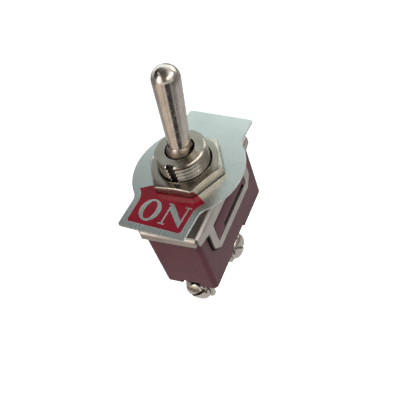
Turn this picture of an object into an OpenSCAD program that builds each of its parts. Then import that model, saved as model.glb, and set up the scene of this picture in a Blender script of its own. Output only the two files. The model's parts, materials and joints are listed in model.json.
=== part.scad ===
// Panel toggle switch: one pole, threaded bushing, two screw terminals.
// The origin is on the bushing's axis, on the top face of the steel frame.
// +Z points out of the panel, -X is the keyway side, and sizes are in millimetres.

/* [Bushing] */
// Outer diameter of the bushing's thread
thread_d = 12; // [11.8:0.1:12.6]
// Height of the bushing above the frame
bushing_h = 11.4; // [10.8:0.1:14]
// Diameter of the mouth that the lever's ball sits in
mouth_d = 7; // [6.8:0.1:7.4]
// Chamfer at the top of the thread
thread_chamfer = 0.35; // [0.2:0.05:0.6]
// Width of the keyway along the thread
keyway_w = 1.8; // [1.7:0.1:2.2]
// Depth of the keyway
keyway_depth = 0.85; // [0.6:0.05:0.9]
// Diameter of the flange under the frame
flange_d = 14.4; // [13.6:0.2:16]
// Thickness of the flange under the frame
flange_t = 0.8; // [0.6:0.1:1.2]

/* [Lever] */
// Depth of the lever's pivot below the mouth
pivot_depth = 1.4; // [1.2:0.1:1.8]
// Distance from the pivot to the lever's tip
lever_reach = 21.5; // [16:0.5:28]
// Diameter of the lever's round tip
tip_d = 6.5; // [5.6:0.1:7.5]
// Diameter of the lever where it leaves the ball
neck_d = 5; // [4.4:0.1:5.6]
// Width of the ball across its two flats
ball_flats = 5.6; // [5:0.1:6.2]
// Tilt of the lever from upright to each stop, in degrees
lever_tilt = 15; // [10:0.5:16]
// Diameter of the arm below the ball
arm_d = 3.2; // [3:0.1:3.4]
// Diameter of the bore up the arm
arm_bore_d = 2.1; // [1.9:0.05:2.2]
// Diameter of the pivot pin
pin_d = 1.6; // [1.2:0.1:2]
// Length of the pivot pin
pin_len = 9.2; // [8.6:0.1:9.6]

/* [Plunger and spring] */
// Length of the plunger's shank inside the arm
shank_in = 4.5; // [3:0.5:6]
// Distance that the plunger stands out of the arm
plunger_out = 2.7; // [2.4:0.1:3.4]
// Radius of the plunger's foot
foot_r = 1; // [0.8:0.05:1.2]
// Length of the spring
spring_len = 6.5; // [5:0.5:8]
// Diameter of the spring's wire
spring_wire = 0.32; // [0.24:0.02:0.36]
// Turns of the spring
spring_turns = 9; // [6:1:12]

/* [Frame] */
// Thickness of the frame's sheet steel
sheet_t = 0.7; // [0.6:0.05:1]
// Outer bend radius of the frame
bend_r = 1.1; // [1.05:0.05:1.5]
// Depth of the band along each long side
band_h = 3.6; // [3.2:0.1:4]
// Length of the band along each long side
band_l = 31.4; // [28.4:0.2:31.4]
// Height of the window in each side loop
window_h = 5.9; // [5:0.1:6.5]
// Length of the window in each side loop
window_l = 18; // [16:0.2:19]
// Radius of the window's corners
window_r = 0.4; // [0.3:0.1:0.8]
// Width of the strips at the window's ends
loop_rim = 2.4; // [2:0.1:3]
// Width of the strip below the window
loop_strip = 2; // [1.6:0.1:2.6]
// Size of the clip at each lower corner of the loop
loop_clip = 2.3; // [1.6:0.1:2.6]
// Drop of the skirt at each end
skirt_drop = 2.4; // [2.2:0.1:3.2]
// Width of the skirt at each end
skirt_w = 14; // [12:0.2:14.2]
// Radius of the skirts' lower corners
skirt_r = 0.35; // [0.2:0.05:0.9]

/* [Base] */
// Length of the moulded base
base_l = 31.4; // [30.4:0.2:35]
// Width of the moulded base at its top
base_w = 14; // [13.4:0.1:15]
// Depth of the base's underside below the frame's top
base_drop = 20.3; // [19.8:0.1:24]
// Draft of each long wall over the base's depth
base_draft = 0.1; // [0.05:0.05:0.3]
// Radius of the base's upright corners
corner_r = 1.3; // [1.1:0.1:2]
// Radius of the base's lower edges
lower_r = 0.35; // [0.2:0.05:0.8]
// Thickness of the base's walls
wall_t = 1.6; // [1.4:0.05:1.8]
// Thickness of the rim around the card's recess
rim_t = 1.1; // [0.9:0.05:1.2]
// Thickness of the floor over the terminals
floor_t = 1.3; // [1:0.1:1.6]
// Depth of the terminal channels in the underside
channel_depth = 1.4; // [1.3:0.05:1.8]
// Thickness of the insulating card
card_t = 0.4; // [0.3:0.05:0.6]

/* [Rocker and contacts] */
// Height of the rocker's pivot above the base's inner floor
rocker_rise = 3.85; // [3.6:0.05:4.2]
// Full swing of the rocker, in degrees
rocker_swing = 16; // [14:0.5:17]
// Length of the rocker
rocker_l = 21.6; // [20.8:0.2:23]
// Width of the rocker across its two cams
rocker_w = 5.2; // [4.8:0.1:5.6]
// Thickness of the rocker's sheet
rocker_t = 0.6; // [0.5:0.05:0.7]
// Height of the cams' lowest point above the rocker's pivot
cam_rise = 1.1; // [1:0.05:1.3]
// Height of the cams' horns above the rocker's pivot
horn_rise = 3; // [2.6:0.1:3.2]
// Diameter of the rocker's trunnions
trunnion_d = 1.2; // [1:0.05:1.4]
// Distance from the pivot to the moving contact
contact_reach = 9.2; // [9:0.1:9.4]
// Diameter of the contacts
contact_d = 2.6; // [2.2:0.1:3]
// Thickness of the cradle's sheet
cradle_t = 0.8; // [0.6:0.05:0.9]

/* [Terminals] */
// Thickness of the terminals
terminal_t = 1; // [0.8:0.05:1.2]
// Width of the terminals' tabs
tab_w = 7; // [6:0.1:7.6]
// Drop of the tabs below the base
tab_drop = 7.5; // [7.3:0.1:9]
// Width of the neck of the end terminal
neck_w = 4.4; // [4:0.1:5]
// Distance from the base's end to the end terminal's outer face
end_tab_inset = 2.1; // [1.7:0.1:2.5]
// Distance from the base's long wall to the side terminal's outer face
side_tab_inset = 2.9; // [2.3:0.1:3.1]
// Diameter of the rivets' shanks
rivet_d = 2; // [1.6:0.1:2.2]

/* [Terminal screws] */
// Diameter of the screws' thread
screw_d = 3.5; // [3:0.1:4]
// Length of the screws under the head
screw_l = 5; // [4:0.5:6]
// Diameter of the screws' heads
head_d = 6.3; // [5.8:0.1:6.8]
// Height of the screws' heads
head_h = 1.8; // [1.4:0.1:2.2]
// Distance from the base's underside to the screws' axes
screw_drop = 4.2; // [4:0.1:4.8]
// Diameter of the screws' washers
screw_washer_d = 7; // [6.8:0.1:7.4]
// Thickness of the screws' washers
screw_washer_t = 0.5; // [0.3:0.05:0.7]

/* [Nuts and lock washer] */
// Width of the nuts across their flats
nut_af = 16.2; // [15:0.2:17]
// Thickness of the nuts
nut_t = 2.4; // [2:0.05:2.6]
// Slope of the chamfer on the nuts' corners, in degrees
nut_chamfer = 13; // [10:1:30]
// Diameter of the countersink in the nuts
nut_sink_d = 12.9; // [12.7:0.1:13.6]
// Gap between the frame and the rear nut
rear_nut_gap = 0.41; // [0.2:0.01:1]
// Width of each tooth of the lock washer
tooth_w = 1.3; // [1.1:0.05:1.5]
// Thickness of the lock washer
lock_t = 0.6; // [0.5:0.05:0.7]
// Twist of each tooth, in degrees
tooth_twist = 25; // [20:1:30]
// Teeth of the lock washer
tooth_count = 14; // [10:1:16]

/* [Label plate] */
// Thickness of the label plate
label_t = 0.5; // [0.4:0.05:0.8]
// Diameter of the plate's round middle
disc_d = 27; // [25:0.5:29]
// Width of the plate's two tails
tail_w = 17.2; // [15:0.2:18]
// Length of the front tail, from the axis
front_tail = 18.8; // [17:0.2:21]
// Length of the back tail, from the axis
back_tail = 17.6; // [16:0.2:20]
// Radius of the hollow corners between the disc and the tails
waist_r = 3; // [2:0.25:4]
// Radius of the tails' outer corners
tail_corner_r = 0.7; // [0.4:0.1:1.2]
// Width of the key tab that runs in the keyway
key_tab_w = 0.76; // [0.6:0.02:0.9]
// Margin between the enamelled field and the plate's edge
field_margin = 1.6; // [1:0.1:2]
// Depth of the enamelled field
enamel_t = 0.1; // [0.06:0.02:0.14]

/* [Fits] */
// Clearance between parts that slide or turn in each other
run_fit = 0.05; // [0.03:0.01:0.08]
// Clearance between parts that are assembled once
seat_fit = 0.04; // [0.02:0.01:0.08]
// Clearance around the lever's arm inside the bushing
arm_gap = 0.15; // [0.1:0.05:0.25]

/* [Hidden] */
$fn = 64;
eps = 0.01;
far = 40;

// Frame and base
frame_l = base_l + 2 * (sheet_t + seat_fit);
frame_w = base_w + 2 * (sheet_t + seat_fit);
window_top = -band_h;
window_bottom = window_top - window_h;
loop_drop = loop_strip - window_bottom;
loop_l = window_l + 2 * loop_rim;
base_top = -sheet_t;
top_chamfer = bend_r - sheet_t + seat_fit;
base_bottom = -base_drop;
flange_bottom = base_top - flange_t;
card_bottom = flange_bottom - card_t;
recess_l = base_l - 2 * rim_t;
recess_w = base_w - 2 * rim_t;
cavity_l = base_l - 2 * wall_t - 1;
cavity_w = base_w - 2 * wall_t;
channel_top = base_bottom + channel_depth;
inner_floor = channel_top + floor_t;

// Lever, plunger and rocker
thread_r = thread_d / 2;
pivot_z = bushing_h - pivot_depth;
ball_r = mouth_d / 2 - 2 * run_fit;
arm_r = arm_d / 2;
bore_r = arm_bore_d / 2;
rocker_z = inner_floor + rocker_rise;
foot_reach = pivot_z - rocker_z - cam_rise - run_fit;
foot_axis = foot_reach - foot_r;
arm_reach = foot_reach - plunger_out;
half_swing = rocker_swing / 2;
// Where the foot's axis lies in the rocker's own frame, upright and at a stop
foot_up = pivot_z - foot_axis - rocker_z;
stop_x = foot_axis * sin(lever_tilt);
stop_z = pivot_z - foot_axis * cos(lever_tilt) - rocker_z;
stop_u = stop_x * cos(half_swing) - stop_z * sin(half_swing);
stop_v = stop_x * sin(half_swing) + stop_z * cos(half_swing);
// The cams follow the circle through those three places
path_r = (stop_u * stop_u + pow(stop_v - foot_up, 2)) / (2 * (stop_v - foot_up));
cam_r = path_r + foot_r + run_fit;
cam_axis = cam_rise + cam_r;
rocker_floor = -trunnion_d / 2 - 0.4;
contact_rise = 0.6;
dome_r = 4;
cradle_w = rocker_w + 3;

// Where the moving contact touches at rest
dome_z = rocker_floor - contact_rise + dome_r;
closed_x = contact_reach * cos(half_swing) + dome_z * sin(half_swing);
closed_z = rocker_z - contact_reach * sin(half_swing) + dome_z * cos(half_swing) - dome_r;
contact_gap = 0.02;
fixed_top = closed_z - contact_gap;

// Terminals and rivets
end_tab_x = base_l / 2 - end_tab_inset;
side_tab_y = base_w / 2 - side_tab_inset;
terminal_top = channel_top;
tab_bottom = base_bottom - tab_drop;
screw_z = base_bottom - screw_drop;
rivet_r = rivet_d / 2;
rivet_head_r = rivet_r + 0.6;
rivet_tail = 0.35;

// Nuts, lock washer and label plate
lock_h = tooth_w * sin(tooth_twist) + lock_t * cos(tooth_twist);
rear_nut_z = rear_nut_gap;
lock_z = rear_nut_z + nut_t;
label_z = lock_z + lock_h;
label_top = label_z + label_t;
label_turn = -asin((keyway_w / 2 - key_tab_w / 2 - 0.02) / thread_r);

// ---- Shapes that repeat ----

// A rectangle centred on the origin, with round corners
module rounded_rect(l, w, r) {
    square([l - 2 * r, w], center = true);
    square([l, w - 2 * r], center = true);
    for (x = [-1, 1], y = [-1, 1])
        translate([x * (l / 2 - r), y * (w / 2 - r)]) circle(r);
}

// The section of a channel that opens downwards, with its top at zero
module channel_section(w, drop, t, r) {
    difference() {
        hat_section(w, drop, r);
        translate([0, -t]) hat_section(w - 2 * t, drop, r - t);
    }
}

// A block with its top at zero and two round top corners
module hat_section(w, drop, r) {
    translate([-w / 2, -drop]) square([w, drop - r]);
    translate([-w / 2 + r, -r - eps]) square([w - 2 * r, r + eps]);
    for (x = [-1, 1]) translate([x * (w / 2 - r), -r]) circle(r);
}

// Stands a flat shape up in the X-Z plane, with its thickness centred on Y
module stand_xz(t) {
    rotate([90, 0, 0]) translate([0, 0, -t / 2]) linear_extrude(t) children();
}

// Stands a flat shape up in the Y-Z plane, with its thickness centred on X
module stand_yz(t) {
    rotate([90, 0, 90]) translate([0, 0, -t / 2]) linear_extrude(t) children();
}

// Puts what is built around the upright lever at the lever's rest tilt
module lever_frame() {
    translate([0, 0, pivot_z]) rotate([0, lever_tilt, 0]) children();
}

// Puts what is built around the level rocker at the rocker's rest tilt
module rocker_frame() {
    translate([0, 0, rocker_z]) rotate([0, -half_swing, 0]) children();
}

// A cylinder along Y, centred on the origin
module crosswise(r, l) {
    rotate([90, 0, 0]) cylinder(r = r, h = l, center = true);
}

// ---- Base ----

module base() {
    color("#5c3337") difference() {
        union() {
            base_block();
            for (s = [0, 1]) mirror([0, s, 0]) base_boss();
        }
        base_cavity();
        terminal_channels();
    }
    color("#5c3337") rocker_stop();
}

// The moulded block, with drafted sides and rounded lower edges
module base_block() {
    x = base_l / 2 - corner_r;
    y = base_w / 2 - corner_r;
    hull() for (sx = [-1, 1], sy = [-1, 1]) {
        translate([sx * x, sy * y, base_top - 2 * top_chamfer])
            cylinder(r = corner_r, h = top_chamfer, $fn = 32);
        translate([sx * x, sy * y, base_top - top_chamfer])
            cylinder(r1 = corner_r, r2 = corner_r - top_chamfer, h = top_chamfer, $fn = 32);
        translate([sx * x, sy * (y - base_draft), base_bottom + lower_r])
            cylinder(r = corner_r, h = eps, $fn = 32);
        translate([sx * x, sy * (y - base_draft), base_bottom])
            cylinder(r = corner_r - lower_r * 0.6, h = eps, $fn = 32);
    }
}

// The wedge that the frame's window snaps over, with a relief along its foot
module base_boss() {
    foot = base_w / 2 - 2 * base_draft;
    out = frame_w / 2 - 0.03;
    top = window_top - 0.12;
    bottom = window_bottom + seat_fit;
    relief_l = 12.5;
    relief_h = 1.5;
    difference() {
        intersection() {
            stand_yz(window_l)
                polygon([[foot, top], [out - 0.35, top], [out, top - 1.6], [out, bottom], [foot, bottom]]);
            translate([0, 0, (top + bottom) / 2]) stand_xz(2 * frame_w)
                rounded_rect(window_l - 0.24, top - bottom, window_r);
        }
        translate([-relief_l / 2 + 1.25, base_w / 2 - base_draft, bottom - eps])
            cube([relief_l, base_w, relief_h]);
    }
}

// The recess for the flange and the card, and the room for the mechanism
module base_cavity() {
    translate([0, 0, card_bottom])
        linear_extrude(-card_bottom + 1) rounded_rect(recess_l, recess_w, 1.2);
    translate([0, 0, inner_floor])
        linear_extrude(-inner_floor + 1) rounded_rect(cavity_l, cavity_w, 1);
}

// Channels in the underside for the terminals' feet, and the rivets' holes
module terminal_channels() {
    end_l = base_l / 2 - closed_x + 2.4;
    side_l = base_w / 2 + 2.4;
    for (s = [0, 1]) mirror([s, 0, 0])
        translate([-base_l / 2 - 1, -neck_w / 2 - 0.2, base_bottom - 1])
            cube([end_l + 1, neck_w + 0.4, channel_depth + 1]);
    translate([-tab_w / 2 - 0.2, -side_l, base_bottom - 1])
        cube([tab_w + 0.4, side_l + 2.4, channel_depth + 1]);
    for (x = [-closed_x, 0])
        translate([x, 0, base_bottom]) cylinder(r = rivet_r + seat_fit, h = inner_floor - base_bottom + 1);
}

// The rib that stops the rocker's free end
module rocker_stop() {
    far_x = contact_reach + 0.6;
    top = rocker_z - far_x * tan(half_swing) + rocker_floor / cos(half_swing) - run_fit;
    translate([far_x - 1.6, -rocker_w / 2 - 0.6, inner_floor - 0.2])
        cube([1.6, rocker_w + 1.2, top - inner_floor + 0.2]);
}

// ---- Frame ----

module frame() {
    color("#b9aca3") difference() {
        union() {
            intersection() {
                stand_yz(band_l) channel_section(frame_w, loop_drop, sheet_t, bend_r);
                stand_xz(frame_w + 2) frame_side();
            }
            stand_xz(skirt_w) channel_section(frame_l, skirt_drop, sheet_t, bend_r);
        }
        skirt_corners();
        translate([0, 0, -sheet_t - 1]) cylinder(r = thread_r + seat_fit, h = sheet_t + 2);
    }
}

// The outline of each side: the band, which tapers to its ends, and the loop around its window
module frame_side() {
    end_x = band_l / 2;
    loop_x = loop_l / 2;
    clip_x = loop_x - loop_clip;
    clip_z = loop_clip - loop_drop;
    difference() {
        polygon([[-end_x, 1], [-end_x, -skirt_drop], [-loop_x, -band_h], [-loop_x, clip_z],
                 [-clip_x, -loop_drop], [clip_x, -loop_drop], [loop_x, clip_z], [loop_x, -band_h],
                 [end_x, -skirt_drop], [end_x, 1]]);
        translate([0, (window_top + window_bottom) / 2])
            rounded_rect(window_l, window_h, window_r);
    }
}

// What is cut away to round the lower corners of the end skirts
module skirt_corners() {
    r = skirt_r;
    for (sx = [-1, 1], sy = [-1, 1])
        translate([sx * (frame_l / 2 - sheet_t / 2), sy * (skirt_w / 2 - r), -skirt_drop + r])
            rotate([0, 90, 0]) difference() {
                translate([0, sy > 0 ? 0 : -2 * r, -sheet_t]) cube([2 * r, 2 * r, 2 * sheet_t]);
                cylinder(r = r, h = 3 * sheet_t, center = true);
            }
}

// ---- Bushing ----

module bushing() {
    color("#9c948a") difference() {
        union() {
            cylinder(r = thread_r, h = bushing_h - thread_chamfer);
            translate([0, 0, bushing_h - thread_chamfer])
                cylinder(r1 = thread_r, r2 = thread_r - thread_chamfer, h = thread_chamfer);
            translate([0, 0, base_top]) cylinder(r = thread_r, h = -base_top);
            bushing_flange();
        }
        translate([0, 0, pivot_z]) cylinder(d = mouth_d, h = far);
        translate([0, 0, pivot_z]) sphere(d = mouth_d);
        arm_slot();
        translate([0, 0, pivot_z]) crosswise(pin_d / 2 + run_fit, pin_len + 2 * run_fit);
        translate([-thread_r - 1, -keyway_w / 2, 0]) cube([1 + keyway_depth, keyway_w, far]);
    }
}

// The flange under the frame, with flats that stop it from turning in the base
module bushing_flange() {
    translate([0, 0, flange_bottom]) linear_extrude(flange_t) intersection() {
        circle(d = flange_d);
        square([flange_d, recess_w - 2 * seat_fit], center = true);
    }
}

// The slot that the arm swings in, wider towards its lower end
module arm_slot() {
    drop = pivot_z - flange_bottom + 1;
    top_x = arm_r / cos(lever_tilt) + arm_gap;
    bottom_x = top_x + drop * tan(lever_tilt);
    translate([0, 0, pivot_z]) stand_xz(arm_d + 2 * arm_gap)
        polygon([[-top_x, 0], [top_x, 0], [bottom_x, -drop], [-bottom_x, -drop]]);
}

module insulating_card() {
    slot_x = arm_r / cos(lever_tilt) + arm_gap + (pivot_z - card_bottom) * tan(lever_tilt);
    color("#c9b48a") translate([0, 0, card_bottom]) linear_extrude(card_t) difference() {
        rounded_rect(recess_l - 2 * seat_fit, recess_w - 2 * seat_fit, 1.2);
        square([2 * slot_x + 0.2, arm_d + 2 * arm_gap + 0.4], center = true);
    }
}

// ---- Lever ----

module lever() {
    tip_r = tip_d / 2;
    tip_z = lever_reach - tip_r;
    color("#a89c90") lever_frame() difference() {
        union() {
            intersection() {
                sphere(r = ball_r);
                cube([2 * mouth_d, ball_flats, 2 * mouth_d], center = true);
            }
            cylinder(r1 = neck_d / 2, r2 = tip_r, h = tip_z);
            translate([0, 0, tip_z]) sphere(r = tip_r);
            translate([0, 0, -arm_reach]) cylinder(r = arm_r, h = arm_reach);
        }
        translate([0, 0, -arm_reach - 1])
            cylinder(r = bore_r, h = 1 + shank_in + spring_len);
        crosswise(pin_d / 2, pin_len);
    }
}

module pivot_pin() {
    color("#8d8d90") lever_frame() crosswise(pin_d / 2, pin_len);
}

// The coil between the end of the arm's bore and the plunger's shank
module lever_spring() {
    coil_r = bore_r - run_fit - spring_wire / 2;
    color("#9a9a9a") lever_frame() translate([0, 0, -arm_reach + shank_in])
        helix(coil_r, spring_wire / 2, spring_len, spring_turns);
}

// A wire of radius wire_r wound around Z, between zero and h
module helix(coil_r, wire_r, h, turns) {
    sides = 6;
    steps = 16 * turns;
    rise = h - 2 * wire_r;
    rings = [for (i = [0 : steps], j = [0 : sides - 1])
        let (a = 360 * turns * i / steps, b = 360 * j / sides, r = coil_r + wire_r * cos(b))
        [r * cos(a), r * sin(a), wire_r + rise * i / steps + wire_r * sin(b)]];
    walls = [for (i = [0 : steps - 1], j = [0 : sides - 1])
        let (k = (j + 1) % sides, p = i * sides, q = p + sides)
        [p + j, q + j, q + k, p + k]];
    first = [for (j = [0 : sides - 1]) j];
    last = [for (j = [sides - 1 : -1 : 0]) steps * sides + j];
    polyhedron(rings, concat(walls, [first], [last]));
}

// The shank slides in the arm, and the foot rides on the rocker's two cams
module plunger() {
    color("#e6e0d2") lever_frame() {
        translate([0, 0, -foot_axis]) {
            cylinder(r = bore_r - run_fit, h = plunger_out - foot_r + shank_in);
            crosswise(foot_r, rocker_w);
        }
    }
}

// ---- Rocker ----

module rocker() {
    color("#c9a15a") rocker_frame() {
        difference() {
            stand_xz(rocker_w) cam_outline();
            translate([-far / 2, -rocker_w / 2 + rocker_t, rocker_floor + rocker_t])
                cube([far, rocker_w - 2 * rocker_t, far]);
        }
        translate([-rocker_l / 2, -rocker_w / 2, rocker_floor])
            cube([rocker_l, rocker_w, rocker_t]);
        crosswise(trunnion_d / 2, cradle_w + 0.4);
    }
}

// The cams' side view: a round hollow between two horns
module cam_outline() {
    foot_x = stop_u + 2.6;
    horn_x = foot_x - 0.9;
    difference() {
        polygon([[-foot_x, rocker_floor], [foot_x, rocker_floor], [horn_x, horn_rise],
                 [-horn_x, horn_rise]]);
        translate([0, cam_axis]) circle(cam_r, $fn = 128);
    }
}

// The round-faced contact under the rocker's live end
module moving_contact() {
    color("#d8d8d4") rocker_frame() translate([-contact_reach, 0, 0]) intersection() {
        translate([0, 0, rocker_floor - contact_rise]) cylinder(d = contact_d, h = contact_rise);
        translate([0, 0, dome_z]) sphere(r = dome_r, $fn = 96);
    }
}

module cradle() {
    ear_x = 1.7;
    ear_top = rocker_z + 1.1;
    color("#c9a15a") difference() {
        union() {
            translate([-ear_x - 0.6, -cradle_w / 2, inner_floor])
                cube([2 * ear_x + 1.2, cradle_w, cradle_t]);
            for (s = [0, 1]) mirror([0, s, 0])
                translate([-ear_x, cradle_w / 2 - cradle_t, inner_floor])
                    cube([2 * ear_x, cradle_t, ear_top - inner_floor]);
        }
        translate([0, 0, rocker_z]) crosswise(trunnion_d / 2 + run_fit, cradle_w + 2);
        translate([-trunnion_d / 2 - run_fit, -cradle_w / 2 - 1, rocker_z])
            cube([trunnion_d + 2 * run_fit, cradle_w + 2, far]);
        translate([0, 0, inner_floor - 1]) cylinder(r = rivet_r + seat_fit, h = 2 + cradle_t);
    }
}

// ---- Terminals ----

// A rivet through a foot and the floor: the top of its inner head is at top, over a seat
module rivet(seat, top, head_r) {
    tail_z = terminal_top - terminal_t;
    translate([0, 0, seat]) cylinder(r = head_r, h = top - seat);
    translate([0, 0, tail_z - rivet_tail]) cylinder(r = rivet_r, h = seat - tail_z + rivet_tail);
    translate([0, 0, tail_z - rivet_tail]) cylinder(r = rivet_head_r, h = rivet_tail);
}

// An angle of sheet metal: the tab faces -X, and the foot runs back to a rivet hole
module terminal(reach, neck) {
    shoulder = base_bottom - 0.25;
    r = terminal_t + 0.2;
    difference() {
        union() {
            translate([0, 0, tab_bottom]) rotate([90, 0, 90]) linear_extrude(terminal_t)
                tab_outline(shoulder - tab_bottom);
            translate([0, -neck / 2, shoulder - eps])
                cube([terminal_t, neck, terminal_top - shoulder - r + 2 * eps]);
            translate([r, 0, terminal_top - r]) intersection() {
                difference() {
                    crosswise(r, neck);
                    crosswise(r - terminal_t, neck + 2);
                }
                translate([-2 * r, -neck, 0]) cube([2 * r, 2 * neck, 2 * r]);
            }
            translate([r - eps, -neck / 2, terminal_top - terminal_t])
                cube([reach + 2 - r + eps, neck, terminal_t]);
        }
        translate([-1, 0, screw_z]) rotate([0, 90, 0]) cylinder(d = screw_d, h = terminal_t + 2);
        translate([reach, 0, base_bottom]) cylinder(r = rivet_r + seat_fit, h = 4);
    }
}

// The face of a tab, with clipped lower corners
module tab_outline(h) {
    x = tab_w / 2;
    clip = 0.8;
    polygon([[-x + clip, 0], [x - clip, 0], [x, clip], [x, h], [-x, h], [-x, clip]]);
}

module end_terminal() {
    color("#bdb39a") translate([-end_tab_x, 0, 0]) terminal(end_tab_x - closed_x, neck_w);
}

module side_terminal() {
    color("#bdb39a") rotate([0, 0, 90]) translate([-side_tab_y, 0, 0]) terminal(side_tab_y, tab_w);
}

module fixed_contact() {
    color("#d8d8d4") translate([-closed_x, 0, 0]) rivet(inner_floor, fixed_top, contact_d / 2);
}

module cradle_rivet() {
    seat = inner_floor + cradle_t;
    color("#c9a15a") rivet(seat, seat + 0.6, rivet_head_r);
}

// A pan-head screw along X: the head's seat is at zero, and the head faces -X
module pan_screw() {
    r = head_d / 2;
    edge = 0.5;
    difference() {
        union() {
            rotate([0, 90, 0]) cylinder(d = screw_d, h = screw_l);
            rotate([0, -90, 0]) rotate_extrude() intersection() {
                square([r, head_h]);
                union() {
                    square([r, head_h - 0.9]);
                    square([r - 0.9, head_h]);
                    translate([r - 0.9, head_h - 0.9]) circle(0.9);
                }
            }
        }
        translate([-head_h - 1, -edge, -r - 1]) cube([1 + head_h * 0.5, 2 * edge, 2 * r + 2]);
    }
}

// A washer along X, with one face at zero and the other towards -X
module screw_washer() {
    rotate([0, -90, 0]) difference() {
        cylinder(d = screw_washer_d, h = screw_washer_t);
        translate([0, 0, -1]) cylinder(d = screw_d + 2 * run_fit, h = screw_washer_t + 2);
    }
}

// Turns what is built along X to a place on a terminal's screw axis
module at_end(out) { translate([-end_tab_x - out, 0, screw_z]) children(); }
module at_side(out) { rotate([0, 0, 90]) translate([-side_tab_y - out, 0, screw_z]) children(); }

module end_washer() { color("#c8c4bc") at_end(0) screw_washer(); }
module side_washer() { color("#c8c4bc") at_side(0) screw_washer(); }
module end_screw() { color("#bfbab0") at_end(screw_washer_t) rotate([35, 0, 0]) pan_screw(); }
module side_screw() { color("#bfbab0") at_side(screw_washer_t) rotate([-50, 0, 0]) pan_screw(); }

// ---- Nuts and lock washer ----

// A thin hexagon nut with flats across X, its upper corners turned down and its bore sunk
module hex_nut() {
    corner = nut_af / 2 / cos(30);
    fall = (corner - nut_af / 2 + 0.3) * tan(nut_chamfer);
    sink = nut_sink_d / 2 - thread_r;
    difference() {
        intersection() {
            rotate([0, 0, 30]) cylinder(r = corner, h = nut_t, $fn = 6);
            union() {
                cylinder(r = corner + 1, h = nut_t - fall);
                translate([0, 0, nut_t - fall])
                    cylinder(r1 = corner, r2 = nut_af / 2 - 0.3, h = fall);
            }
        }
        translate([0, 0, -1]) cylinder(r = thread_r, h = nut_t + 2);
        translate([0, 0, nut_t - sink]) cylinder(r1 = thread_r, r2 = nut_sink_d / 2, h = sink);
        translate([0, 0, nut_t - eps]) cylinder(d = nut_sink_d, h = 1);
    }
}

module rear_nut() { color("#9c948a") translate([0, 0, rear_nut_z]) hex_nut(); }
module panel_nut() { color("#9c948a") translate([0, 0, label_top]) hex_nut(); }

// A ring with twisted teeth around its edge
module lock_washer() {
    ring_r = thread_r + 1.9;
    tooth_l = 1.3;
    color("#8f8f8f") translate([0, 0, lock_z + lock_h / 2]) {
        difference() {
            cylinder(r = ring_r, h = lock_t, center = true);
            cylinder(r = thread_r + 2 * run_fit, h = lock_t + 1, center = true);
        }
        for (i = [0 : tooth_count - 1])
            rotate([0, 0, 360 * i / tooth_count]) translate([ring_r - 0.3, 0, 0])
                rotate([tooth_twist, 0, 0])
                    translate([0, -tooth_w / 2, -lock_t / 2]) cube([tooth_l, tooth_w, lock_t]);
    }
}

// ---- Label plate ----

// Points along an arc, from one angle to the other
function arc(x, y, r, from, to, steps) =
    [for (i = [0 : steps]) let (a = from + (to - from) * i / steps) [x + r * cos(a), y + r * sin(a)]];

// The plate's outline, drawn in by a margin: a disc with a tail on each side
module plate_outline(margin) {
    disc_r = disc_d / 2 - margin;
    tail_y = tail_w / 2 - margin;
    front = front_tail - margin;
    back = back_tail - margin;
    r = tail_corner_r;
    hollow_r = waist_r + margin;
    hollow_y = tail_w / 2 + waist_r;
    hollow_x = sqrt(pow(disc_d / 2 + waist_r, 2) - hollow_y * hollow_y);
    turn = atan2(hollow_y, hollow_x);
    upper = concat(
        arc(-front + r, tail_y - r, r, 180, 90, 8),
        arc(-hollow_x, hollow_y, hollow_r, -90, -turn, 16),
        arc(0, 0, disc_r, 180 - turn, turn, 48),
        arc(hollow_x, hollow_y, hollow_r, 180 + turn, 270, 16),
        arc(back - r, tail_y - r, r, 90, 0, 8));
    lower = [for (i = [len(upper) - 1 : -1 : 0]) [upper[i][0], -upper[i][1]]];
    polygon(concat(upper, lower));
}

// The enamelled field: the inset outline, as far as two slanting cuts and the nut
module field_outline() {
    inner_x = thread_r + 0.6;
    cut_y = 6;
    slant = 0.58;
    reach_y = disc_d / 2;
    slant_x = inner_x + slant * (reach_y - cut_y);
    difference() {
        plate_outline(field_margin);
        polygon([[-slant_x, -reach_y], [-inner_x, -cut_y], [-inner_x, cut_y],
                 [-slant_x, reach_y], [far, reach_y], [far, -reach_y]]);
    }
}

module label_plate() {
    hole_r = thread_r + 0.1;
    color("#b8c6c6") translate([0, 0, label_z]) rotate([0, 0, label_turn]) {
        difference() {
            linear_extrude(label_t) plate_outline(0);
            translate([0, 0, -1]) cylinder(r = hole_r, h = label_t + 2);
            translate([0, 0, label_t - enamel_t]) linear_extrude(1) field_outline();
        }
        translate([-hole_r - 0.2, -key_tab_w / 2, 0])
            cube([hole_r + 0.2 - thread_r + keyway_depth - 0.15, key_tab_w, label_t - enamel_t]);
    }
}

module label_enamel() {
    color("#7d1c2a") translate([0, 0, label_top - enamel_t]) rotate([0, 0, label_turn])
        linear_extrude(enamel_t) field_outline();
}

base();
frame();
bushing();
insulating_card();
rear_nut();
lock_washer();
label_plate();
label_enamel();
panel_nut();
end_terminal();
fixed_contact();
end_washer();
end_screw();
side_terminal();
cradle();
cradle_rivet();
side_washer();
side_screw();
lever();
pivot_pin();
lever_spring();
plunger();
rocker();
moving_contact();
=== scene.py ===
"""The looks of the panel toggle switch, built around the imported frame.

The space is the CAD part's own: +Z points out of the panel, -X towards the keyway and the lettered
tail, -Y towards the side terminal. Lengths are in millimetres until mm() or MM turns them into
Blender's metres."""
import json
import math

import bmesh
import bpy
from mathutils import Matrix, Quaternion, Vector


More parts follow.
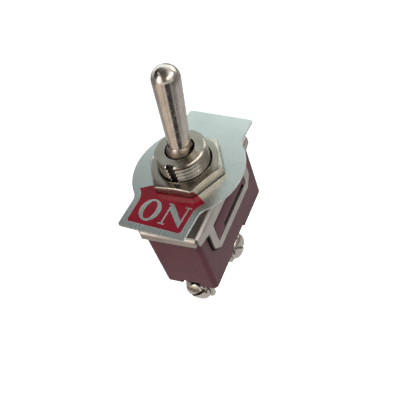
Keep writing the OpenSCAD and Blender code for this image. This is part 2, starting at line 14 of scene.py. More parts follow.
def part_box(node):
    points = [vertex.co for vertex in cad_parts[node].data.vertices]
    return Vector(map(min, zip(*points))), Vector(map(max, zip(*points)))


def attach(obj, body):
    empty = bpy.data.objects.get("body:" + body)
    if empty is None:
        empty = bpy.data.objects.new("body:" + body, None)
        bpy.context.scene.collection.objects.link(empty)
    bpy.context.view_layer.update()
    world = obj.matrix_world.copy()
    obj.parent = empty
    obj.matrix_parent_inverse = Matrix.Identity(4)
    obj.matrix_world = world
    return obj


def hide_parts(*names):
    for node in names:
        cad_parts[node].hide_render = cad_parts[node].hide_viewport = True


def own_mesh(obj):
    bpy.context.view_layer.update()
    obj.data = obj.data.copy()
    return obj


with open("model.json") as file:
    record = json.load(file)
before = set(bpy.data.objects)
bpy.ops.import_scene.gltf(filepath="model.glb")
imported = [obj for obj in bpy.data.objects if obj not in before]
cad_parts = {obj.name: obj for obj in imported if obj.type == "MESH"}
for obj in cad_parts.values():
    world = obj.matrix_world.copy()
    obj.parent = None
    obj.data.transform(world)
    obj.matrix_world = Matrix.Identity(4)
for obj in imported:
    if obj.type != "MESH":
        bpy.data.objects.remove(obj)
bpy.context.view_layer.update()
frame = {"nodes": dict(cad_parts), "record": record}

MM = 0.001
SCENE = bpy.context.scene
BEHAVIOUR = frame["record"]["behaviour"]
SLOTS = {row["node"]: row["material_slot"] for row in frame["record"]["subparts"]}
BODIES = {node: body for body, nodes in BEHAVIOUR["bodies"].items() for node in nodes}
BUSHING_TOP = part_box("bushing")[1].z / MM


def mm(*values):
    return Vector([v * MM for v in values])


def linear(r, g, b):
    """An sRGB colour of 0 to 255 as linear RGBA."""
    def one(c):
        c /= 255
        return c / 12.92 if c <= 0.04045 else ((c + 0.055) / 1.055) ** 2.4
    return (one(r), one(g), one(b), 1)


def shaded(colour, share):
    return tuple(c * share for c in colour[:3]) + (1,)


def linked(name, data):
    """A new object, linked to the scene."""
    thing = bpy.data.objects.new(name, data)
    SCENE.collection.objects.link(thing)
    return thing


# ---- Camera ----

CAMERA_AT = (-95.088, -78.364, 125.558)
CAMERA_TARGET = (-2.78, -1.95, -3.15)
CAMERA_ROLL = -22.9        # degrees about the line of sight
CAMERA_LENS = 68.1
CAMERA_SENSOR = 36
CAMERA_REACH = (0.01, 20)  # the nearest and the farthest that it sees, in metres


def make_camera():
    data = bpy.data.cameras.new("camera")
    data.lens = CAMERA_LENS
    data.sensor_width = CAMERA_SENSOR
    data.clip_start, data.clip_end = CAMERA_REACH
    camera = linked("camera", data)
    look = mm(*CAMERA_TARGET) - mm(*CAMERA_AT)
    turn = look.to_track_quat("-Z", "Y") @ Quaternion((0, 0, 1), math.radians(CAMERA_ROLL))
    camera.location = mm(*CAMERA_AT)
    camera.rotation_euler = turn.to_euler()
    SCENE.camera = camera


# ---- Node helpers ----

# A Mix node's sockets for numbers and for colours share their names, so its colour ones go by place.
MIX_FACTOR, MIX_FIRST, MIX_SECOND = 0, 6, 7
MIX_COLOUR = 2

NOISE_MIDDLE = (0.3, 0.7)  # the range that nearly all of a noise's values lie in
BEVEL_SAMPLES = 6
CORNER_SAMPLES = 8


class Nodes:
    """The node tree of a material or world, emptied, with short calls for the nodes that they share.
    A value given to these calls is another node's socket or a plain number, vector or colour."""

    def __init__(self, owner):
        owner.use_nodes = True
        self.tree = owner.node_tree
        self.tree.nodes.clear()

    def node(self, kind, **settings):
        new = self.tree.nodes.new(kind)
        for key, value in settings.items():
            setattr(new, key, value)
        return new

    def feed(self, socket, value):
        if isinstance(value, bpy.types.NodeSocket):
            self.tree.links.new(value, socket)
        else:
            socket.default_value = value

    def wired(self, kind, inputs, **settings):
        """The first output of a new node, whose inputs are fed by name or by place."""
        new = self.node(kind, **settings)
        for key, value in inputs.items():
            self.feed(new.inputs[key], value)
        return new.outputs[0]

    def shows(self, kind, shader):
        """Ends the tree in an output node of that kind."""
        self.feed(self.node(kind).inputs["Surface"], shader)

    def band(self, value, low, high, to_low=0, to_high=1):
        """Maps value from one range to another, clamped."""
        return self.wired("ShaderNodeMapRange", {"Value": value, "From Min": low, "From Max": high,
                                                 "To Min": to_low, "To Max": to_high})

    def worked_out(self, operation, first, second):
        return self.wired("ShaderNodeMath", {0: first, 1: second}, operation=operation)

    def mixed(self, factor, first, second, blend="MIX"):
        """A colour mixed of two."""
        mix = self.node("ShaderNodeMix", data_type="RGBA", blend_type=blend)
        for place, value in ((MIX_FACTOR, factor), (MIX_FIRST, first), (MIX_SECOND, second)):
            self.feed(mix.inputs[place], value)
        return mix.outputs[MIX_COLOUR]

    def mixed_number(self, factor, first, second):
        return self.wired("ShaderNodeMix", {"Factor": factor, "A": first, "B": second})

    def mixed_shader(self, factor, first, second):
        return self.wired("ShaderNodeMixShader", {0: factor, 1: first, 2: second})


class Shader(Nodes):
    """One material of the switch: a Principled shader and what varies it over the surface. The uniform
    values stay the same all over, and place is the object's own coordinates."""

    def __init__(self, name, **uniform):
        self.name = name
        self.material = bpy.data.materials.new(name)
        super().__init__(self.material)
        self.bsdf = self.node("ShaderNodeBsdfPrincipled")
        self.shows("ShaderNodeOutputMaterial", self.bsdf.outputs[0])
        for key, value in uniform.items():
            self.set(key.replace("_", " "), value)
        self.place = self.node("ShaderNodeTexCoord").outputs["Object"]

    def set(self, key, value):
        """Feeds one of the shader's inputs."""
        self.feed(self.bsdf.inputs[key], value)

    def fed(self, key):
        """The socket that feeds one of the shader's inputs."""
        return self.bsdf.inputs[key].links[0].from_socket

    def noise(self, per_mm, detail=2, roughness=0.5, stretch=(1, 1, 1)):
        """Noise with about per_mm features to a millimetre."""
        place = self.wired("ShaderNodeMapping", {"Vector": self.place, "Scale": stretch})
        return self.wired("ShaderNodeTexNoise", {"Vector": place, "Scale": per_mm / MM, "Detail": detail,
                                                 "Roughness": roughness})

    def vary_roughness(self, value, low, high):
        self.set("Roughness", self.band(value, *NOISE_MIDDLE, low, high))

    def vary_colour(self, value, first, second):
        self.set("Base Color", self.mixed(self.band(value, *NOISE_MIDDLE), first, second))

    def soft_edges(self, radius):
        """A normal that rounds the shading of hard edges by radius millimetres."""
        return self.wired("ShaderNodeBevel", {"Radius": radius * MM}, samples=BEVEL_SAMPLES)

    def bump(self, height, depth, strength, normal=None):
        """Bump of depth millimetres, on top of the given normal."""
        inputs = {"Height": height, "Distance": depth * MM, "Strength": strength}
        if normal:
            inputs["Normal"] = normal
        self.set("Normal", self.wired("ShaderNodeBump", inputs))

    def painted_corner_shade(self, reach, depth, darkest=0.3, cleanest=0.85, dull=None):
        """Painted shade: darkens the base colour, down to depth of it, where surfaces within reach
        millimetres close in. It sets in where the open share of directions falls below cleanest, and is
        full at darkest.
        With dull, the roughness goes to that value in the same places."""
        corners = self.node("ShaderNodeAmbientOcclusion", samples=CORNER_SAMPLES)
        self.feed(corners.inputs["Distance"], reach * MM)
        kept = self.band(corners.outputs["AO"], darkest, cleanest, depth, 1)
        grey = self.wired("ShaderNodeCombineColor", {"Red": kept, "Green": kept, "Blue": kept})
        self.set("Base Color", self.mixed(1, self.fed("Base Color"), grey, "MULTIPLY"))
        if dull:
            self.set("Roughness", self.mixed_number(kept, dull, self.fed("Roughness")))


# ---- Materials ----

BALL_TOP = BUSHING_TOP + 1.2  # where the lever's ball ends, above the mouth of the bushing
BALL_FADE = 0.5               # half the height over which the worn ball, painted dark as shade, turns into the polished lever


def nickel(name, colour, roughness, edge, painted_corner_shade=(0.9, 0.35), speckle=0.1):
    """Nickel plating: fine grain, cloudy patches of duller plating, dark speckle, and painted shade in its
    corners. Roughness is its least and its most, and edge is the rounding that its shading adds."""
    s = Shader(name, Metallic=1.0)
    s.vary_roughness(s.noise(0.9, detail=4), *roughness)
    clouds = s.mixed(s.band(s.noise(0.35, detail=3), *NOISE_MIDDLE), colour, shaded(colour, 0.84))
    spots = s.band(s.noise(2.6, detail=4, roughness=0.75), 0.48, 0.68, 0, speckle)
    s.set("Base Color", s.mixed(spots, clouds, shaded(colour, 0.12)))
    s.bump(s.noise(9, detail=3), depth=0.0015, strength=0.6, normal=s.soft_edges(edge))
    # Painted shade in its corners and creases.
    s.painted_corner_shade(*painted_corner_shade)
    return s


def lever_plating():
    """The lever's polished plating, dull on the ball, which the mouth of the bushing rubs. The ball is also
    painted dark there, as the shade of the mouth.
    """
    # Painted shade darkens its corners and creases.
    s = nickel("lever_plating", linear(200, 190, 180), (0.16, 0.3), 0.05,
               painted_corner_shade=(1.2, 0.2, 0.3, 0.8), speckle=0.3)
    axes = s.node("ShaderNodeSeparateXYZ")
    s.feed(axes.inputs[0], s.place)
    # Below the ball's top the plating gets rougher, and its colour is darkened as painted shade of the
    # mouth.
    worn_and_shaded = s.band(axes.outputs["Z"], (BALL_TOP + BALL_FADE) * MM, (BALL_TOP - BALL_FADE) * MM)
    s.set("Roughness", s.mixed_number(worn_and_shaded, s.fed("Roughness"), 0.46))
    s.set("Base Color", s.mixed(worn_and_shaded, s.fed("Base Color"), (0.3, 0.26, 0.22, 1), "MULTIPLY"))
    return s


def phenolic():
    """Maroon phenolic: a satin skin with fine dark flecks of filler, and painted shade, dark and dull, in
    its corners.
    """
    s = Shader("phenolic", Specular_IOR_Level=0.26)
    flecks = s.band(s.noise(7, detail=5, roughness=0.7), 0.52, 0.66)
    clouds = s.mixed(s.band(s.noise(0.3, detail=3), 0.35, 0.65), linear(90, 34, 43), linear(79, 28, 37))
    s.set("Base Color", s.mixed(flecks, clouds, linear(66, 24, 31)))
    s.vary_roughness(s.noise(2.5, detail=4), 0.27, 0.42)
    s.bump(s.noise(12, detail=3), depth=0.004, strength=0.5, normal=s.soft_edges(0.12))
    # Painted shade: black and fully rough where surfaces close in, as in the shadow line under the frame's
    # skirt.
    s.painted_corner_shade(reach=1.0, depth=0.0, darkest=0.82, cleanest=0.99, dull=1.0)
    return s


def enamel():
    """Glossy deep red enamel, with a faint orange-peel wave."""
    s = Shader("red_enamel", Roughness=0.2, Specular_IOR_Level=0.3, Coat_Weight=0.15, Coat_Roughness=0.06)
    s.vary_colour(s.noise(0.5, detail=3), linear(120, 8, 30), linear(106, 6, 25))
    s.bump(s.noise(1.6), depth=0.004, strength=0.35)
    return s


def label_metal():
    """Satin aluminium sheet: a fine grain rolled along the plate."""
    s = Shader("label_aluminium", Metallic=1.0)
    grain = s.noise(5, detail=4, stretch=(0.1, 1, 1))
    s.vary_roughness(grain, 0.24, 0.32)
    s.vary_colour(s.noise(0.12), linear(197, 200, 196), linear(187, 190, 186))
    s.bump(grain, depth=0.0004, strength=0.4, normal=s.soft_edges(0.1))
    # Painted shade in its corners.
    s.painted_corner_shade(reach=0.7, depth=0.35)
    return s


def plain(name, colour, roughness, metallic=1.0, grain=8, depth=0.003):
    """A plain material for what is mostly out of sight: its colour, a little mottling and a fine bump."""
    s = Shader(name, Metallic=metallic)
    s.vary_colour(s.noise(0.8, detail=3), colour, shaded(colour, 0.85))
    s.vary_roughness(s.noise(3, detail=3), roughness * 0.8, min(1, roughness * 1.2))
    s.bump(s.noise(grain, detail=3), depth, strength=0.5)
    return s


def make_materials():
    """The record's material slots, each with its material. A nickel row gives its colour, roughness,
    rounded edge and painted corner shade, and a plain row its colour and roughness."""
    shaders = (
        phenolic(),
        nickel("frame_steel", linear(186, 178, 170), (0.38, 0.52), 0.1),
        nickel("plated_brass", linear(170, 162, 150), (0.18, 0.3), 0.05, (0.8, 0.06, 0.25, 0.6)),
        nickel("plated_steel", linear(194, 185, 175), (0.1, 0.22), 0.06, (1.0, 0.12, 0.25, 0.8)),
        lever_plating(),
        label_metal(),
        enamel(),
        nickel("terminal_brass", linear(194, 186, 172), (0.22, 0.36), 0.06),
        plain("bare_brass", linear(205, 168, 96), 0.3),
        plain("silver", linear(225, 224, 220), 0.22),
        plain("pin_steel", linear(170, 170, 172), 0.25),
        plain("spring_steel", linear(160, 160, 162), 0.3),
        plain("card", linear(188, 160, 112), 0.85, metallic=0, grain=10, depth=0.01),
        plain("nylon", linear(226, 218, 200), 0.45, metallic=0, grain=6),
    )
    return {s.name: s.material for s in shaders}


# ---- Mesh helpers ----

WELD = 1e-6        # metres: points closer than this are one
FLAT_ANGLE = 0.6   # degrees: faces that meet at less are one flat face
SHARP_ANGLE = 30   # degrees: an edge that turns more is rounded
CRISP_ANGLE = 35   # degrees: an edge that turns more isn't shaded smooth


def mesh_from(bm, name):
    mesh = bpy.data.meshes.new(name)
    bm.to_mesh(mesh)
    bm.free()
    return mesh


def smooth(mesh, angle=CRISP_ANGLE):
    mesh.shade_smooth()
    mesh.set_sharp_from_angle(angle=math.radians(angle))


def keep_flat(piece):
    """Shades large faces flat up to the rounded edges beside them."""
    even = piece.modifiers.new("keep_flat", "WEIGHTED_NORMAL")
    even.mode = "FACE_AREA"
    even.keep_sharp = True


def piece_of(mesh, name, material, angle=CRISP_ANGLE):
    mesh.materials.clear()
    mesh.materials.append(material)
    smooth(mesh, angle)
    piece = linked(name, mesh)
    keep_flat(piece)
    return piece


def piece_from(bm, name, material, angle=CRISP_ANGLE):
    bm.normal_update()
    return piece_of(mesh_from(bm, name), name, material, angle)


def material_of(node):
    return materials[SLOTS[node]]


def stand_in(piece, node):
    """Puts a piece in the place of a CAD node, which it hides, and on the node's body."""
    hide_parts(node)
    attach(piece, BODIES[node])


def cad_bmesh(node):
    """A CAD node's mesh, welded, with its flat faces joined up."""
    bm = bmesh.new()
    bm.from_mesh(frame["nodes"][node].data)
    bmesh.ops.remove_doubles(bm, verts=bm.verts, dist=WELD)
    bmesh.ops.dissolve_limit(bm, angle_limit=math.radians(FLAT_ANGLE), verts=bm.verts, edges=bm.edges)
    return bm


def round_edges(bm, width, angle=SHARP_ANGLE, segments=2, clamp=True):
    """Bevels every edge that turns more than angle degrees. With clamp, a bevel gets narrower rather
    than run into the next one."""
    sharp = [e for e in bm.edges if len(e.link_faces) == 2 and e.calc_face_angle() > math.radians(angle)]
    bmesh.ops.bevel(bm, geom=sharp, offset=width * MM, offset_type="OFFSET", segments=segments,
                    profile=0.5, affect="EDGES", clamp_overlap=clamp)


def dress(node, width, segments=2, clamp=True):
    """The CAD node again, with its edges rounded as real geometry."""
    bm = cad_bmesh(node)
    round_edges(bm, width, segments=segments, clamp=clamp)
    stand_in(piece_from(bm, node + "_dressed", material_of(node)), node)


def cut(piece, tool):
    """Takes the tool's volume out of the piece, and deletes the tool."""
    modifier = piece.modifiers.new("cut", "BOOLEAN")
    modifier.operation = "DIFFERENCE"
    modifier.solver = "EXACT"
    modifier.object = tool
    bpy.context.view_layer.update()
    evaluated = piece.evaluated_get(bpy.context.evaluated_depsgraph_get())
    mesh = bpy.data.meshes.new_from_object(evaluated)
    piece.modifiers.clear()
    piece.data = mesh
    keep_flat(piece)
    bpy.data.objects.remove(tool)


def lofted(rings):
    """A closed solid through rings of points, which are as long as each other or are single points.
    An end ring of more than one point is closed by a face."""
    bm = bmesh.new()
    steps = max(len(ring) for ring in rings)
    rings = [[bm.verts.new(point) for point in ring] for ring in rings]
    for a, b in zip(rings, rings[1:]):
        for i in range(steps):
            k = (i + 1) % steps
            corners = [a[i % len(a)], a[k % len(a)], b[k % len(b)], b[i % len(b)]]
            bm.faces.new(list(dict.fromkeys(corners)))
    for end in (rings[0][::-1], rings[-1]):
        if len(end) > 1:
            bm.faces.new(end)
    bmesh.ops.recalc_face_normals(bm, faces=bm.faces)
    return bm


# ---- Bushing and its thread ----

THREAD_R = 6.0
THREAD_PITCH = 1.0
THREAD_DEPTH = 0.44
THREAD_FLANK = 38      # degrees
THREAD_ROOT = 0.08     # half the width of the groove's bottom
THREAD_CLEAR = 0.14    # how far the groove's cutter stands out of the bushing
THREAD_FOOT = 0.7      # the height above the steel frame where it starts
THREAD_LEAD = 0.95     # the bushing's plain end above it
THREAD_FADE = 0.35     # the turns over which it fades out at the top
THREAD_START = 0.5     # radians
THREAD_STEPS = 96      # to a turn

BUSHING_EDGE = 0.1
BUSHING_CRISP = 30
KEYWAY_HALF = 0.9
KEYWAY_FLOOR = 4       # the keyway's floor lies farther out than this
FACE_MARGIN = 0.02     # slack in telling which faces are the keyway's
SQUARE_ON = 0.9        # a wall faces an axis when this much of its normal lies along it


def thread_cutter(bottom, top):
    """A helical V groove as a closed solid, to be cut out of the bushing. It fades out at its top."""
    root, outer = THREAD_R - THREAD_DEPTH, THREAD_R + THREAD_CLEAR
    outer_half = THREAD_ROOT + (outer - root) * math.tan(math.radians(THREAD_FLANK))
    profile = ((outer, outer_half), (outer, -outer_half), (root, -THREAD_ROOT), (root, THREAD_ROOT))
    turns = (top - bottom) / THREAD_PITCH
    rings = []
    for i in range(int(turns * THREAD_STEPS) + 1):
        turn = 2 * math.pi * i / THREAD_STEPS + THREAD_START
        z = bottom + THREAD_PITCH * i / THREAD_STEPS
        left = (turns - i / THREAD_STEPS) / THREAD_FADE
        out = THREAD_DEPTH * max(0, 1 - left)
        rings.append([mm((r + out) * math.cos(turn), (r + out) * math.sin(turn), z + dz)
                      for r, dz in profile])
    return linked("thread_cutter", mesh_from(lofted(rings), "thread_cutter"))


def in_keyway(face):
    """Whether a face is a side wall or the floor of the keyway."""
    x, y, z = face.center / MM
    within = abs(y) < KEYWAY_HALF + FACE_MARGIN and math.hypot(x, y) < THREAD_R - BUSHING_EDGE
    is_side = abs(face.normal.y) > SQUARE_ON
    is_floor = x < -KEYWAY_FLOOR and abs(face.normal.x) > SQUARE_ON
    return x < 0 < z and within and (is_side or is_floor)


def make_bushing(keyway_shade):
    """The bushing with its thread cut in. A near-black material paints shade on the walls of the keyway."""
    bm = cad_bmesh("bushing")
    round_edges(bm, BUSHING_EDGE, CRISP_ANGLE)
    piece = piece_from(bm, "bushing_threaded", material_of("bushing"))
    cut(piece, thread_cutter(THREAD_FOOT, BUSHING_TOP - THREAD_LEAD))
    smooth(piece.data, BUSHING_CRISP)
    # Painted shade: the keyway's faces take the near-black second material.
    piece.data.materials.append(keyway_shade)
    for face in piece.data.polygons:
        if in_keyway(face):
            face.material_index = 1
    stand_in(piece, "bushing")


# ---- Terminal screws ----

HEAD_HEIGHT = 1.8
HEAD_RIM = 0.55        # the height of the head's straight rim, under its dome
HEAD_CHAMFER = 0.12
DOME_STEPS = 8
SHANK_R = 1.72
SCREW_PITCH = 0.6
GROOVE_DEPTH = 0.22
GROOVE_HALF = 0.2      # half the width of the thread's groove
GROOVE_FOOT = 0.3      # from the head's seat to the first groove
GROOVE_LEAD = 0.5      # the least room for a groove before the shank's end
TIP_CHAMFER = 0.15
TIP_INSET = 0.5        # from the shank's side to the edge of its end face
SLOT_WIDTH = 0.75
SLOT_DEPTH = 0.95
SCREW_EDGE = 0.06
SCREW_SHARP = 38
SCREW_CRISP = 40
SCREW_STEPS = 48
FACE_STEP = 0.001      # how much the seat and the end face are off flat


def screw_profile(length, head_r):
    """Half a screw's outline as (x, r) points: from the top of its head at -HEAD_HEIGHT, past the
    head's seat at 0, to the shank's end."""
    end = length - HEAD_HEIGHT
    profile = [(-HEAD_HEIGHT, 0)]
    for i in range(1, DOME_STEPS):
        a = math.radians(90 - 90 * i / DOME_STEPS)
        profile.append((-HEAD_RIM - (HEAD_HEIGHT - HEAD_RIM) * math.sin(a), head_r * math.cos(a)))
    profile += [(-HEAD_RIM, head_r), (-HEAD_CHAMFER, head_r)]
    profile += [(0, head_r - HEAD_CHAMFER), (FACE_STEP, SHANK_R)]
    x = GROOVE_FOOT
    while x < end - GROOVE_LEAD:
        profile += [(x, SHANK_R), (x + GROOVE_HALF, SHANK_R - GROOVE_DEPTH), (x + 2 * GROOVE_HALF, SHANK_R)]
        x += SCREW_PITCH
    profile += [(end - TIP_CHAMFER, SHANK_R - TIP_CHAMFER), (end, SHANK_R - TIP_INSET)]
    profile += [(end + FACE_STEP, 0)]
    return profile


def turned(profile):
    """A solid of revolution about X from (x, r) points. It is closed where r is 0."""
    angles = [2 * math.pi * i / SCREW_STEPS for i in range(SCREW_STEPS)]
    rings = []
    for x, r in profile:
        if r > 0:
            rings.append([mm(x, r * math.cos(a), r * math.sin(a)) for a in angles])
        else:
            rings.append([mm(x, 0, 0)])
    return lofted(rings)


def slot_cutter(head_r, slot_turn):
    """A block across the top of a screw's head, turned by slot_turn degrees about the screw."""
    block = bmesh.new()
    bmesh.ops.create_cube(block, size=1)
    mesh = mesh_from(block, "slot")
    mesh.transform(Matrix.Rotation(math.radians(slot_turn), 4, "X")
                   @ Matrix.Translation(mm(-HEAD_HEIGHT, 0, 0))
                   @ Matrix.Diagonal((*mm(2 * SLOT_DEPTH, SLOT_WIDTH, 2 * head_r + 1), 1)))
    return linked("slot", mesh)


def make_screw(node, axis, slot_turn):
    """A screw with a domed, slotted head and a threaded shank, in the place of its CAD node. It is made
    along X with its head towards -X, and then turned to have it towards the negative end of its axis,
    which is 0 for X and 1 for Y."""
    low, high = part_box(node)
    size = (high - low) / MM
    head_r = size[1 - axis] / 2
    profile = screw_profile(size[axis], head_r)
    piece = piece_from(turned(profile), node + "_domed", material_of(node), SCREW_CRISP)
    cut(piece, slot_cutter(head_r, slot_turn))
    bm = bmesh.new()
    bm.from_mesh(piece.data)
    bmesh.ops.remove_doubles(bm, verts=bm.verts, dist=WELD)
    round_edges(bm, SCREW_EDGE, SCREW_SHARP)
    bm.to_mesh(piece.data)
    bm.free()
    seat = (low + high) / 2
    seat[axis] = low[axis] + HEAD_HEIGHT * MM
    piece.data.transform(Matrix.Translation(seat) @ Matrix.Rotation(math.radians(90 * axis), 4, "Z"))
    smooth(piece.data, SCREW_CRISP)
    stand_in(piece, node)


# ---- Spring ----

def make_spring():
    """The lever's spring, on a mesh of its own. Nothing here shortens it from its lower end as the plunger
    is pushed in.
    """
    piece = piece_from(cad_bmesh("lever_spring"), "lever_spring_coil", material_of("lever_spring"))
    stand_in(piece, "lever_spring")
    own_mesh(piece)


# ---- Lettering ----

# A letter's points are (u, v) in the plate's plan, before the plate is turned: u runs up the letters,
# towards the bushing, and v from right to left across them.
PLATE_TURN = math.radians(-4.78)
LETTER_FOOT = -16.0
LETTER_HEIGHT = 5.75
LETTER_TOP = LETTER_FOOT + LETTER_HEIGHT
LETTER_LIFT = 0.03

O_OVERSHOOT = 0.14     # how far it stands past the other letter's foot and top
O_MIDDLE = ((LETTER_FOOT + LETTER_TOP) / 2, 2.95)
O_HALF_HEIGHT = LETTER_HEIGHT / 2 + O_OVERSHOOT
O_HALF_WIDTH = 2.6
O_THIN = 0.48          # its stroke at the top and the foot
O_THICK = 1.2          # its stroke at the sides
O_STEPS = 64

N_LEFT, N_RIGHT = -0.6, -6.5
N_STEM = 0.34          # the width of an upright
N_SERIF = 0.62         # how far a serif stands out at each side of it
N_SLAB = 0.3           # how thick a serif is
N_DIAGONAL = 1.3       # where the diagonal's upper side leaves the top, from the left
N_JOIN_LEFT = 1.7      # where its lower side leaves the left upright, from the top
N_JOIN_RIGHT = 1.9     # where its upper side meets the right upright, from the foot
N_TOE = 0.068          # the width of its lower end


def flat_letter(name, loops, material, z):
    """A thin raised letter from an outline and its holes, in plate coordinates."""
    curve = bpy.data.curves.new(name, "CURVE")
    curve.dimensions = "2D"
    curve.fill_mode = "BOTH"
    curve.extrude = LETTER_LIFT * MM
    for loop in loops:
        spline = curve.splines.new("POLY")
        spline.points.add(len(loop) - 1)
        for point, (u, v) in zip(spline.points, loop):
            point.co = (*mm(u, v, 0), 1)
        spline.use_cyclic_u = True
    maker = linked(name, curve)
    bpy.context.view_layer.update()
    mesh = bpy.data.meshes.new_from_object(maker.evaluated_get(bpy.context.evaluated_depsgraph_get()))
    bpy.data.objects.remove(maker)
    mesh.transform(Matrix.Translation(mm(0, 0, z)) @ Matrix.Rotation(PLATE_TURN, 4, "Z"))
    return piece_of(mesh, name, material)


def ellipse(middle, half_u, half_v):
    angles = [2 * math.pi * i / O_STEPS for i in range(O_STEPS)]
    return [(middle[0] + half_u * math.cos(a), middle[1] + half_v * math.sin(a)) for a in angles]


def letter_o():
    """The outlines of O: the letter and its hole."""
    return [ellipse(O_MIDDLE, O_HALF_HEIGHT, O_HALF_WIDTH),
            ellipse(O_MIDDLE, O_HALF_HEIGHT - O_THIN, O_HALF_WIDTH - O_THICK)]


def letter_n():
    """The outline of N, from its lower left: up the inside of the left upright, down the diagonal, round
    the right upright, back up the diagonal and down the outside of the left upright."""
    foot, top, left, right = LETTER_FOOT, LETTER_TOP, N_LEFT, N_RIGHT
    low_slab, high_slab = foot + N_SLAB, top - N_SLAB
    left_inner = left - N_SERIF - N_STEM
    right_inner = right + N_SERIF + N_STEM
    outline = [
        (foot, left), (foot, left_inner - N_SERIF), (low_slab, left_inner - N_SERIF),
        (low_slab, left_inner), (top - N_JOIN_LEFT, left_inner),
        (foot, right + N_SERIF + N_TOE), (foot, right + N_SERIF),
        (high_slab, right + N_SERIF), (high_slab, right), (top, right),
        (top, right_inner + N_SERIF), (high_slab, right_inner + N_SERIF),
        (high_slab, right_inner), (foot + N_JOIN_RIGHT, right_inner),
        (top, left - N_DIAGONAL), (top, left), (high_slab, left), (high_slab, left - N_SERIF),
        (low_slab, left - N_SERIF), (low_slab, left),
    ]
    return [outline]


def make_letters():
    """ON in serif capitals, reading from the front with its tops towards the bushing."""
    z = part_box("label_enamel")[1].z / MM + LETTER_LIFT / 2
    for name, loops in (("letter_o", letter_o()), ("letter_n", letter_n())):
        piece = flat_letter(name, loops, material_of("label_plate"), z)
        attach(piece, BODIES["label_plate"])


# ---- Studio ----

WORLD_TINT = (0.94, 0.97, 1, 1)
WORLD_LIGHT = 0.26
WHITE = (1, 1, 1, 1)
FLOOR_Z = -110
FLOOR_HALF = 3                     # metres
FLOOR_GREY = (0.82, 0.82, 0.82, 1)
FLOOR_GLOW = 0.8                   # lifts the floor to white for the camera alone
RAMP = (0.4, 0.6)                  # where a card's colours mix, as shares of the way along its diagonal
RAMP_POWER = 0.6
# Colours of the dark cards, which only reflections see and which darken what metal mirrors.
BROWN_DARK_CARD = (0.04, 0.036, 0.03)
RED_DARK_CARD = (0.04, 0.034, 0.034)


def make_world():
    """A plain even world: white where the camera and reflections see it, softer as a light."""
    world = bpy.data.worlds.new("studio")
    SCENE.world = world
    nodes = Nodes(world)
    soft = nodes.wired("ShaderNodeBackground", {"Color": WORLD_TINT, "Strength": WORLD_LIGHT})
    white = nodes.wired("ShaderNodeBackground", {"Color": WHITE, "Strength": 1})
    rays = nodes.node("ShaderNodeLightPath").outputs
    seen = nodes.worked_out("MAXIMUM", rays["Is Camera Ray"], rays["Is Glossy Ray"])
    seen = nodes.worked_out("MAXIMUM", seen, rays["Is Transmission Ray"])
    nodes.shows("ShaderNodeOutputWorld", nodes.mixed_shader(seen, soft, white))


def make_floor():
    """A plain pale floor: it shows white to the camera and keeps the object's shadow."""
    bm = bmesh.new()
    bmesh.ops.create_grid(bm, x_segments=2, y_segments=2, size=FLOOR_HALF)
    floor = linked("floor", mesh_from(bm, "floor"))
    floor.location = mm(0, 0, FLOOR_Z)
    material = bpy.data.materials.new("floor")
    nodes = Nodes(material)
    pale = nodes.wired("ShaderNodeBsdfDiffuse", {"Color": FLOOR_GREY})
    glow = nodes.wired("ShaderNodeEmission", {"Strength": FLOOR_GLOW})
    lifted = nodes.wired("ShaderNodeAddShader", {0: pale, 1: glow})
    by_camera = nodes.node("ShaderNodeLightPath").outputs["Is Camera Ray"]
    nodes.shows("ShaderNodeOutputMaterial", nodes.mixed_shader(by_camera, pale, lifted))
    floor.data.materials.append(material)


def face_origin(thing, at):
    thing.location = mm(*at)
    thing.rotation_euler = (-mm(*at)).to_track_quat("-Z", "Y").to_euler()


def softbox(name, at, size, power, colour, reflected=True):
    """A lamp that faces the origin. Where it isn't reflected, metal doesn't mirror the lamp itself."""
    data = bpy.data.lights.new(name, "AREA")
    data.shape = "RECTANGLE"
    data.size, data.size_y = mm(*size)
    data.energy = power
    data.color = colour
    light = linked(name, data)
    face_origin(light, at)
    light.visible_glossy = reflected


def emitter(name, low, high):
    """A glow that goes from one colour near a card's lower left corner to another near its upper right."""
    material = bpy.data.materials.new(name)
    nodes = Nodes(material)
    along = nodes.node("ShaderNodeVectorMath", operation="DOT_PRODUCT")
    nodes.feed(along.inputs[0], nodes.node("ShaderNodeTexCoord").outputs["Generated"])
    nodes.feed(along.inputs[1], (0.5, 0.5, 0))
    share = nodes.worked_out("POWER", nodes.band(along.outputs["Value"], *RAMP), RAMP_POWER)
    glow = nodes.wired("ShaderNodeEmission", {"Color": nodes.mixed(share, (*low, 1), (*high, 1))})
    nodes.shows("ShaderNodeOutputMaterial", glow)
    return material


def card(name, at, size, low, high=None):
    """A studio card that only reflections see, facing the origin."""
    bm = bmesh.new()
    bmesh.ops.create_grid(bm, x_segments=1, y_segments=1, size=0.5)
    board = linked(name, mesh_from(bm, name))
    face_origin(board, at)
    board.scale = (*mm(*size), 1)
    board.data.materials.append(emitter(name, low, high or low))
    board.visible_camera = False
    board.visible_diffuse = False
    board.visible_shadow = False


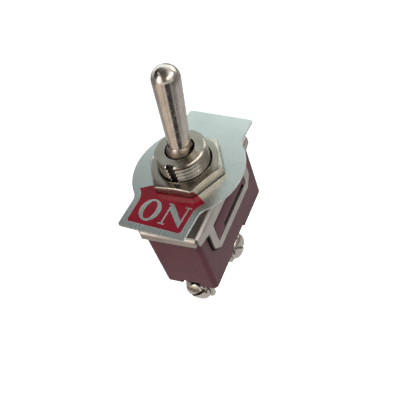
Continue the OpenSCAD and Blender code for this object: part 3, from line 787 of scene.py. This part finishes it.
def make_studio():
    """The world, the floor, the lamps and the cards. The flags and the dark cards dim what metal mirrors
    on their side, and the glows and the crown cards light it."""
    make_world()
    make_floor()
    softbox("key", (-200, -30, 440), (120, 120), 1.1, (1, 0.99, 0.97), reflected=False)
    softbox("fill", (20, -320, 245), (420, 130), 0.75, (0.97, 0.99, 1))
    softbox("rim", (-300, 185, 215), (110, 260), 0.6, (1, 0.98, 0.95))
    card("upper_flag", (-190, -160, 250), (420, 380), (0.16, 0.148, 0.136))
    card("top_flag", (-60, -40, 430), (440, 440), (0.12, 0.105, 0.09))
    card("left_flag", (-230, 430, 200), (560, 420), (0.3, 0.285, 0.265))
    card("right_flag", (200, -440, 200), (620, 420), (0.32, 0.31, 0.3))
    card("back_card", (260, 215, 330), (560, 460), (1.65, 1.9, 1.9), (0.1, 0.09, 0.088))
    card("lever_glow", (-203, 127, -58), (170, 170), (1.0, 0.87, 0.74))
    card("lever_left", (10, 240, -120), (250, 170), (0.36, 0.34, 0.31))
    card("lever_line", (-246, -14, -54), (52, 170), (1.1, 1.02, 0.94))
    card("lever_dark", (-206, -122, -52), (165, 170), RED_DARK_CARD)
    card("lever_right", (-36, -232, -104), (190, 190), (0.165, 0.157, 0.153))
    card("side_card", (110, -130, -150), (230, 200), (0.25, 0.185, 0.185))
    card("lower_flag", (-88, -72, -120), (110, 110), RED_DARK_CARD)
    card("under_card", (-80, 66, -112), (180, 140), (0.34, 0.25, 0.24))
    card("edge_glow", (-50, -240, 200), (300, 100), (3.3, 3.15, 2.95))
    card("front_glow", (-238, 118, 150), (140, 140), (2.9, 2.7, 2.5))
    card("front_dark", (-130, 236, 240), (130, 170), BROWN_DARK_CARD)
    card("crown_right", (330, -90, 130), (260, 190), (2.3, 2.45, 2.45))
    card("crown_left", (230, 270, 60), (220, 130), (1.8, 1.9, 1.9))
    card("crown_dark", (-30, 290, 220), (240, 150), BROWN_DARK_CARD)


# ---- The switch ----

# How wide each part's edges are rounded. The nuts' edges are chamfered instead, and never narrower.
CHAMFERED = {"panel_nut": 0.22, "rear_nut": 0.22}
ROUNDED = {
    "base": 0.22, "frame": 0.13, "label_plate": 0.1,
    "end_terminal": 0.12, "side_terminal": 0.12, "end_washer": 0.1, "side_washer": 0.1,
    "lock_washer": 0.06, "lever": 0.15,
}

make_camera()
materials = make_materials()

for node, piece in frame["nodes"].items():
    piece.data.materials.clear()
    piece.data.materials.append(material_of(node))

for node, width in CHAMFERED.items():
    dress(node, width, segments=1, clamp=False)
for node, width in ROUNDED.items():
    dress(node, width)

# The keyway's near-black material is painted shade in that narrow slot.
make_bushing(plain("keyway_painted_shade", linear(30, 25, 21), 0.5, metallic=0.3).material)
make_screw("end_screw", axis=0, slot_turn=55)
make_screw("side_screw", axis=1, slot_turn=-40)
make_spring()
make_letters()
make_studio()

SCENE.view_settings.view_transform = "Standard"
